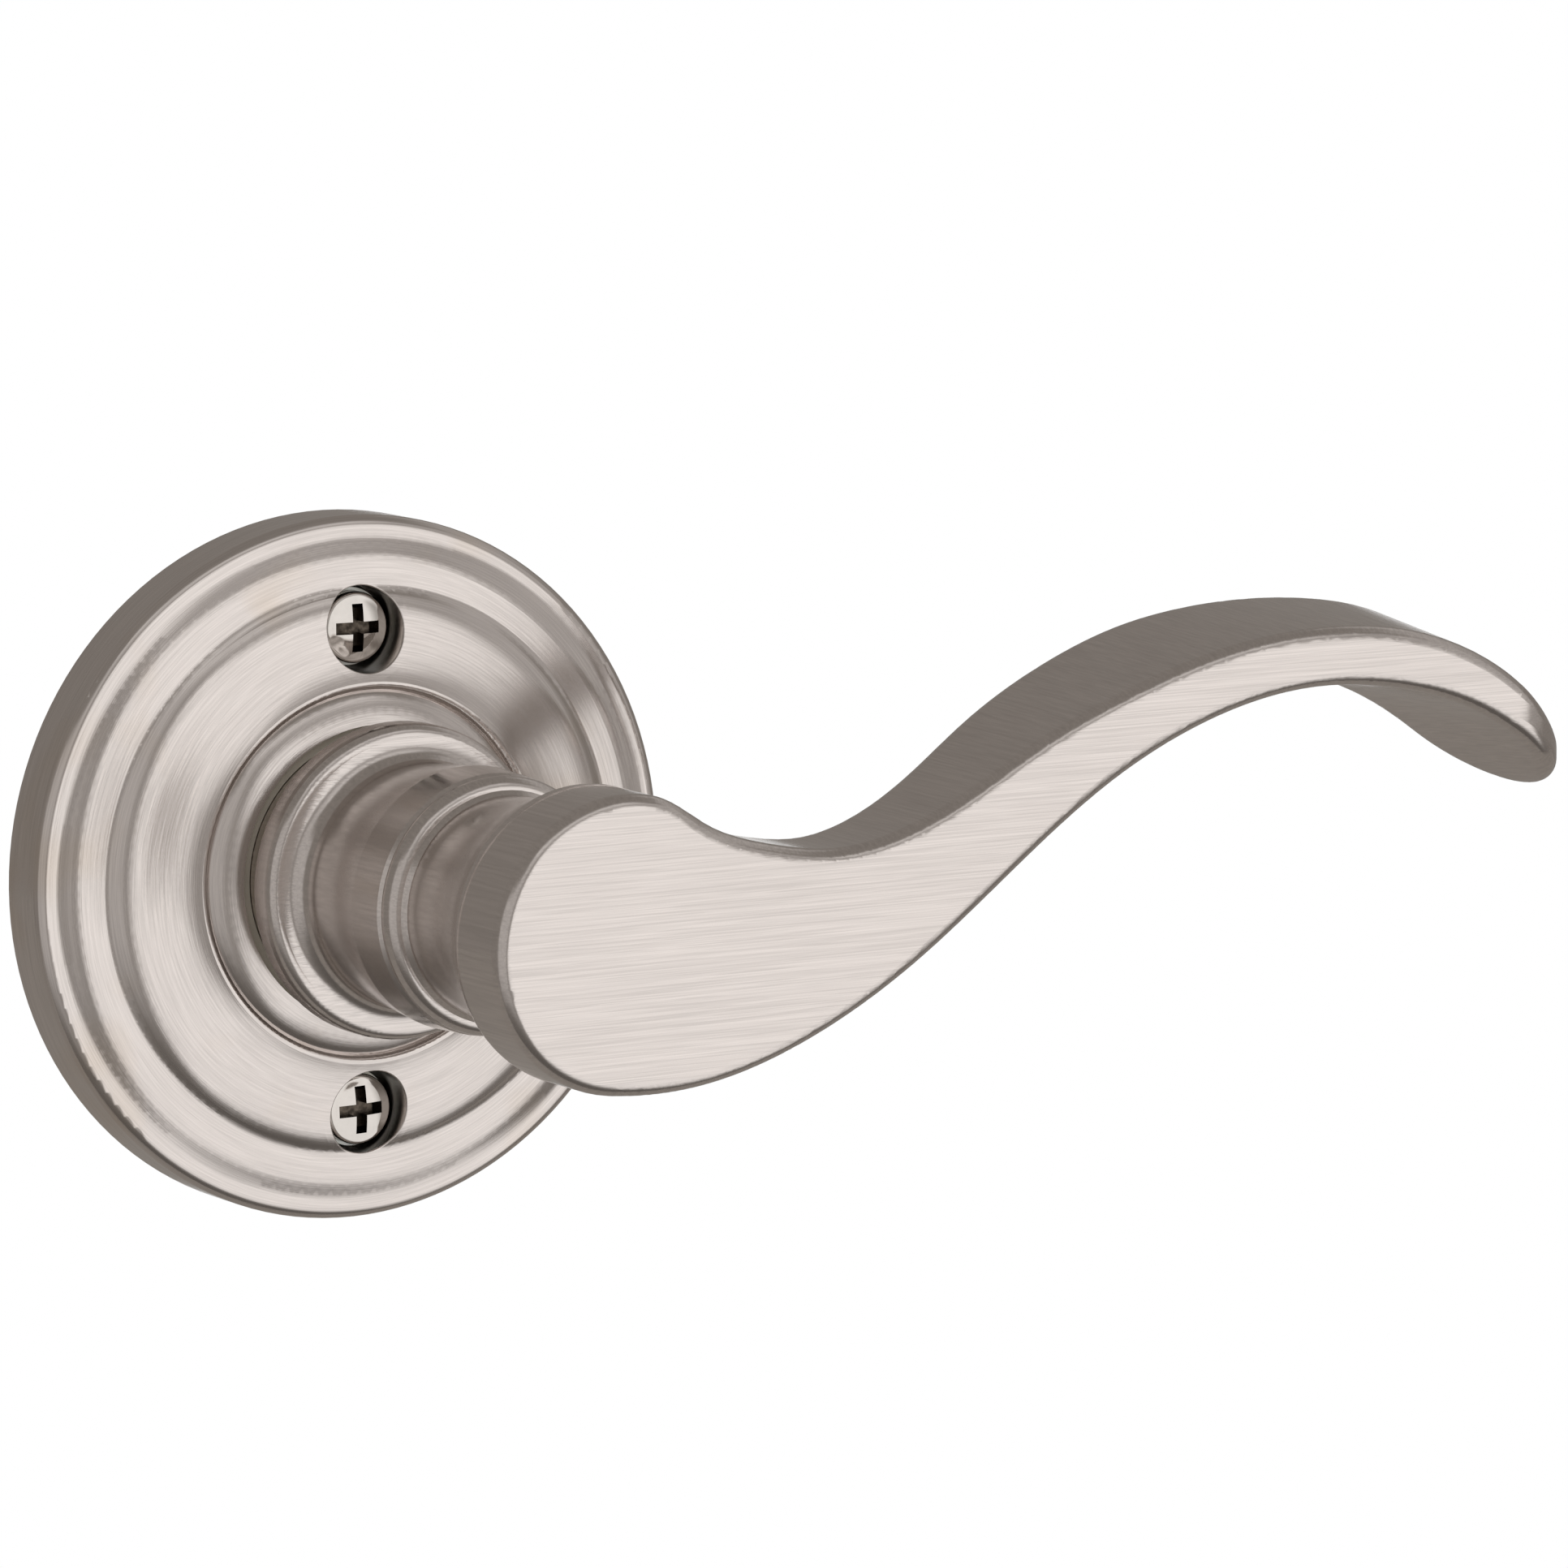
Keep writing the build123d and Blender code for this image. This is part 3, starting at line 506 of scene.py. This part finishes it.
class HANDLE_OT_make_screws(bpy.types.Operator):
    """Turn the screws' heads, sink their cross recesses and cut their threads"""

    bl_idname = "handle.make_screws"
    bl_label = "Make screws"

    def execute(self, context):
        sizes = context.scene.handle_screws
        finish = context.scene.handle_finish
        bright = bright_screw_nickel(finish)
        upper = self.turn_head(sizes)
        upper.data.materials.append(bright)
        # the recesses take a material of painted shade
        self.sink_recess(sizes, upper, painted_shade_recess_nickel(finish))
        thread = self.cut_thread(sizes)
        thread.data.materials.append(bright)
        start_piece()
        thread.select_set(True)
        upper.select_set(True)
        context.view_layer.objects.active = upper
        bpy.ops.object.join()
        bpy.ops.object.mode_set(mode="EDIT")
        bpy.ops.mesh.select_all(action="SELECT")
        bpy.ops.transform.translate(value=(0.0, 0.0, sizes.spacing / 2))
        bpy.ops.object.mode_set(mode="OBJECT")
        bpy.ops.object.shade_smooth_by_angle(angle=SMOOTH_ANGLE)
        upper.name = "fixing_screw_upper"
        bpy.ops.object.duplicate(linked=False)
        lower = context.object
        lower.name = "fixing_screw_lower"
        bpy.ops.object.mode_set(mode="EDIT")
        bpy.ops.mesh.select_all(action="SELECT")
        bpy.ops.transform.translate(value=(0.0, 0.0, -sizes.spacing))
        bpy.ops.transform.rotate(
            value=sizes.lower_turn, orient_axis="Y", center_override=(0.0, 0.0, -sizes.spacing / 2))
        bpy.ops.object.mode_set(mode="OBJECT")
        for screw in (upper, lower):
            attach(screw, "rose")
            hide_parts("mounting_screws")
        return {"FINISHED"}

    def turn_head(self, sizes):
        """The neck, the head's side, its rounded edge and its dome, spun about the Y axis."""
        edge = sizes.head_floor + sizes.edge_height
        crown = sizes.head_floor + sizes.head_height
        dome_radius = sizes.head_radius - sizes.edge_width
        dome_edge = crown - sizes.dome_rise
        profile = [(0.0, -sizes.thread_start), (sizes.neck_radius, -sizes.thread_start),
                   (sizes.neck_radius, sizes.head_floor), (sizes.head_radius, sizes.head_floor),
                   (sizes.head_radius, edge)]
        for step in range(1, EDGE_STEPS + 1):
            turn = math.radians(90.0 * step / EDGE_STEPS)
            profile.append((dome_radius + sizes.edge_width * math.cos(turn),
                            edge + (dome_edge - edge) * math.sin(turn)))
        for step in range(DOME_STEPS - 1, -1, -1):
            share = step / DOME_STEPS
            profile.append((dome_radius * share, crown - sizes.dome_rise * share ** 2))
        head = draw_line([(radius, -height) for radius, height in profile])
        bpy.ops.object.mode_set(mode="EDIT")
        bpy.ops.mesh.select_all(action="SELECT")
        bpy.ops.mesh.spin(
            steps=HEAD_STEPS, angle=math.tau, center=(0.0, 0.0, 0.0), axis=(0.0, 1.0, 0.0))
        close_mesh()
        return head

    def sink_recess(self, sizes, head, painted_shade):
        """Two crossed blades, drawn in towards their tips, cut from the head's crown; their cut faces
        take the painted recess shade.
        """
        crown = sizes.head_floor + sizes.head_height
        for turn in (0.0, 90.0):
            start_piece()
            bpy.ops.mesh.primitive_cube_add(size=2.0)
            blade = bpy.context.object
            blade.data.materials.append(painted_shade)
            bpy.ops.object.mode_set(mode="EDIT")
            bpy.ops.mesh.select_all(action="SELECT")
            bpy.ops.transform.resize(
                value=(sizes.slot_length / 2, sizes.slot_depth, sizes.slot_width / 2),
                center_override=(0.0, 0.0, 0.0))
            pick(lambda place: place.y > 0.0)
            bpy.ops.transform.resize(
                value=(1.0 - RECESS_DRAW, 1.0, 1.0 - RECESS_SIDE_DRAW), center_override=(0.0, 0.0, 0.0))
            pick(lambda place: place.y < 0.0)
            bpy.ops.transform.resize(
                value=(1.0 + RECESS_DRAW, 1.0, 1.0 + RECESS_SIDE_DRAW), center_override=(0.0, 0.0, 0.0))
            bpy.ops.mesh.select_all(action="SELECT")
            bpy.ops.transform.rotate(
                value=math.radians(turn), orient_axis="Y", center_override=(0.0, 0.0, 0.0))
            bpy.ops.transform.translate(value=(0.0, -crown, 0.0))
            bpy.ops.object.mode_set(mode="OBJECT")
            slot = head.modifiers.new("recess", "BOOLEAN")
            slot.operation = "DIFFERENCE"
            slot.solver = "EXACT"
            # the cut faces take the blade's material, the painted recess shade
            slot.material_mode = "TRANSFER"
            slot.object = blade
            bpy.context.view_layer.objects.active = head
            bpy.ops.object.modifier_apply(modifier="recess")
            bpy.data.objects.remove(blade)

    def cut_thread(self, sizes):
        """One pitch of the thread wound to its length, cut off square and drawn in at its tip."""
        root = sizes.thread_radius - sizes.thread_depth
        start = sizes.thread_start - 2 * sizes.thread_pitch
        thread = draw_line([
            (root, start), (sizes.thread_radius, start + sizes.thread_pitch / 2),
            (root, start + sizes.thread_pitch)])
        wind = thread.modifiers.new("wind", "SCREW")
        wind.axis = "Y"
        wind.angle = math.tau
        wind.screw_offset = sizes.thread_pitch
        wind.iterations = math.ceil((sizes.thread_end - start) / sizes.thread_pitch) + 1
        wind.steps = THREAD_STEPS
        wind.render_steps = THREAD_STEPS
        bpy.ops.object.modifier_apply(modifier="wind")
        bpy.ops.object.mode_set(mode="EDIT")
        bpy.ops.mesh.select_all(action="SELECT")
        bpy.ops.mesh.remove_doubles(threshold=MERGE_DISTANCE)
        bpy.ops.mesh.select_all(action="SELECT")
        bpy.ops.mesh.bisect(
            plane_co=(0.0, sizes.thread_start, 0.0), plane_no=(0.0, 1.0, 0.0),
            threshold=MERGE_DISTANCE, use_fill=True, clear_inner=True)
        bpy.ops.mesh.select_all(action="SELECT")
        bpy.ops.mesh.bisect(
            plane_co=(0.0, sizes.thread_end, 0.0), plane_no=(0.0, 1.0, 0.0),
            threshold=MERGE_DISTANCE, use_fill=True, clear_outer=True)
        pick(lambda place: place.y > sizes.thread_end - sizes.thread_pitch)
        bpy.ops.transform.resize(value=(TIP_SHARE, 1.0, TIP_SHARE), center_override=(0.0, 0.0, 0.0))
        close_mesh()
        return thread


class HANDLE_OT_finish_plate_work(bpy.types.Operator):
    """Plate the pressed steel behind the rose"""

    bl_idname = "handle.finish_plate_work"
    bl_label = "Finish plate work"

    def execute(self, context):
        finish = context.scene.handle_finish
        dress(zinc_plate(finish), "mounting_plate", "screw_posts", "screw_washers",
              "spring_anchor", "stop_pins", "clip_rivets", "spring_driver")
        return {"FINISHED"}


class HANDLE_OT_finish_drive(bpy.types.Operator):
    """Finish the spindle, its sleeve and pin, and the set screw"""

    bl_idname = "handle.finish_drive"
    bl_label = "Finish drive"

    def execute(self, context):
        finish = context.scene.handle_finish
        dress(drawn_bar(finish), "drive_sleeve", "latch_spindle", "spindle_pin")
        dress(black_oxide_steel(finish), "set_screw")
        return {"FINISHED"}


class HANDLE_OT_finish_springs(bpy.types.Operator):
    """Finish the return spring, the clips and the retaining ring"""

    bl_idname = "handle.finish_springs"
    bl_label = "Finish springs"

    def execute(self, context):
        finish = context.scene.handle_finish
        dress(oiled_spring_steel(finish), "rose_clips", "return_spring", "retaining_ring")
        return {"FINISHED"}


class HANDLE_OT_finish_bearings(bpy.types.Operator):
    """Finish the bushes and the thrust washer"""

    bl_idname = "handle.finish_bearings"
    bl_label = "Finish bearings"

    def execute(self, context):
        dress(natural_acetal(context.scene.handle_finish), "rose_bush", "plate_bush", "thrust_washer")
        return {"FINISHED"}


class HANDLE_OT_set_stage(bpy.types.Operator):
    """Set the floor, the studio light and the camera"""

    bl_idname = "handle.set_stage"
    bl_label = "Set stage"

    def execute(self, context):
        stage = context.scene.handle_stage
        self.lay_floor(stage)
        self.hang_card(stage)
        self.light_studio(context, stage)
        self.place_camera(context, stage)
        context.scene.view_settings.view_transform = "Standard"
        return {"FINISHED"}

    def lay_floor(self, stage):
        """A pale painted floor below the handle."""
        start_piece()
        bpy.ops.mesh.primitive_plane_add(
            size=stage.floor_side, location=(0.0, stage.floor_back, -stage.floor_drop))
        bpy.ops.object.transform_apply(location=True, rotation=True, scale=True)
        sheet = bpy.context.object
        sheet.name = "studio_floor"
        material, tree, shader = new_material("pale_paint")
        place = put(tree, "ShaderNodeTexCoord", {})
        # roller marks about 20 mm wide
        marks = put(tree, "ShaderNodeTexNoise", {
            "Vector": place.outputs["Object"], "Scale": 50.0, "Detail": 3.0})
        shade = put(tree, "ShaderNodeMix", {
            FACTOR: marks.outputs["Fac"], COLOUR_A: rgba(stage.floor, 0.98),
            COLOUR_B: rgba(stage.floor)}, data_type="RGBA")
        tree.links.new(shade.outputs[COLOUR_RESULT], shader.inputs["Base Color"])
        shader.inputs["Roughness"].default_value = 0.7
        sheet.data.materials.append(material)

    def hang_card(self, stage):
        """A white card square behind the handle that fills the camera's view."""
        away = camera_way(stage)
        start_piece()
        bpy.ops.mesh.primitive_plane_add(
            size=stage.card_side, location=Vector(stage.aim) - away * stage.card_distance,
            rotation=away.to_track_quat("Z", "Y").to_euler())
        bpy.ops.object.transform_apply(location=True, rotation=True, scale=True)
        card = bpy.context.object
        card.name = "white_card"
        material, tree, shader = new_material("white_card")
        ray = put(tree, "ShaderNodeLightPath", {})
        seen = put(tree, "ShaderNodeMath", {
            0: ray.outputs["Is Camera Ray"], 1: ray.outputs["Is Glossy Ray"]}, operation="MAXIMUM")
        shown = put(tree, "ShaderNodeMath", {
            0: seen.outputs[0], 1: ray.outputs["Is Transmission Ray"]}, operation="MAXIMUM")
        glow = put(tree, "ShaderNodeEmission", {"Color": (1.0, 1.0, 1.0, 1.0), "Strength": 1.0})
        mix = put(tree, "ShaderNodeMixShader", {
            0: shown.outputs[0], 1: shader.outputs[0], 2: glow.outputs[0]})
        tree.links.new(mix.outputs[0], tree.nodes["Material Output"].inputs["Surface"])
        card.data.materials.append(material)

    def light_studio(self, context, stage):
        """Grey studio walls with five soft light panels, as the world's light."""
        world = bpy.data.worlds.new("soft_studio")
        context.scene.world = world
        world.use_nodes = True
        tree = world.node_tree
        background = tree.nodes["Background"]
        place = put(tree, "ShaderNodeTexCoord", {})
        way = put(tree, "ShaderNodeSeparateXYZ", {"Vector": place.outputs["Generated"]})
        front = put(tree, "ShaderNodeMath", {0: way.outputs["Y"], 1: -1.0}, operation="MULTIPLY")
        turn = put(tree, "ShaderNodeMath", {
            0: way.outputs["X"], 1: front.outputs[0]}, operation="ARCTAN2")
        rise = put(tree, "ShaderNodeMath", {0: way.outputs["Z"]}, operation="ARCSINE")
        glow = 0.0
        for edges, level, lean in (
            (stage.front_edges, stage.front_level, stage.front_lean),
            (stage.strip_edges, stage.strip_level, 0.0),
            (stage.side_edges, stage.side_level, 0.0),
            (stage.far_edges, stage.far_level, 0.0),
            (stage.left_edges, stage.left_level, 0.0),
        ):
            panel = light_panel(tree, turn.outputs[0], rise.outputs[0], edges, level, lean)
            glow = put(tree, "ShaderNodeMath", {0: panel, 1: glow}, operation="ADD").outputs[0]
        lift = put(tree, "ShaderNodeMapRange", {
            "Value": rise.outputs[0], "From Min": WALL_DARK_RISE, "From Max": WALL_FULL_RISE,
            "To Min": WALL_DARK_SHARE, "To Max": 1.0})
        walls = put(tree, "ShaderNodeMix", {
            FACTOR: 1.0, COLOUR_A: rgba(stage.studio), COLOUR_B: lift.outputs["Result"]},
            data_type="RGBA", blend_type="MULTIPLY")
        lit = put(tree, "ShaderNodeMix", {
            FACTOR: 1.0, COLOUR_A: walls.outputs[COLOUR_RESULT], COLOUR_B: glow},
            data_type="RGBA", blend_type="ADD")
        tree.links.new(lit.outputs[COLOUR_RESULT], background.inputs["Color"])
        background.inputs["Strength"].default_value = 1.0

    def place_camera(self, context, stage):
        """The camera on its line of sight, aimed at the handle."""
        away = camera_way(stage)
        camera = bpy.data.objects.new("camera", bpy.data.cameras.new("camera"))
        context.scene.collection.objects.link(camera)
        camera.data.lens = stage.camera_lens
        camera.data.sensor_width = SENSOR_WIDTH
        camera.data.clip_start = 10 * MM
        camera.location = Vector(stage.aim) + away * stage.camera_distance
        camera.rotation_euler = (-away).to_track_quat("-Z", "Y").to_euler()
        context.scene.camera = camera


class HANDLE_PT_sidebar(bpy.types.Panel):
    """Settings and steps of the handle"""

    bl_idname = "HANDLE_PT_sidebar"
    bl_label = "Door lever handle"
    bl_space_type = "VIEW_3D"
    bl_region_type = "UI"
    bl_category = "Handle"

    def draw(self, context):
        scene = context.scene
        for settings in (scene.handle_finish, scene.handle_screws, scene.handle_stage):
            box = self.layout.box()
            for name in settings.__annotations__:
                box.prop(settings, name)
        for step in STEPS:
            self.layout.operator(step.bl_idname)


STEPS = (
    HANDLE_OT_finish_lever,
    HANDLE_OT_finish_rose,
    HANDLE_OT_make_screws,
    HANDLE_OT_finish_plate_work,
    HANDLE_OT_finish_drive,
    HANDLE_OT_finish_springs,
    HANDLE_OT_finish_bearings,
    HANDLE_OT_set_stage,
)
CLASSES = (HandleFinish, HandleScrews, HandleStage) + STEPS + (HANDLE_PT_sidebar,)


def register():
    """Register the settings, the steps and the sidebar."""
    for entry in CLASSES:
        bpy.utils.register_class(entry)
    bpy.types.Scene.handle_finish = bpy.props.PointerProperty(type=HandleFinish)
    bpy.types.Scene.handle_screws = bpy.props.PointerProperty(type=HandleScrews)
    bpy.types.Scene.handle_stage = bpy.props.PointerProperty(type=HandleStage)


def unregister():
    """Take the settings, the steps and the sidebar away again."""
    del bpy.types.Scene.handle_finish
    del bpy.types.Scene.handle_screws
    del bpy.types.Scene.handle_stage
    for entry in reversed(CLASSES):
        bpy.utils.unregister_class(entry)


def main():
    """Run every step in order."""
    register()
    for step in STEPS:
        group, name = step.bl_idname.split(".")
        getattr(getattr(bpy.ops, group), name)()


if __name__ == "__main__":
    main()
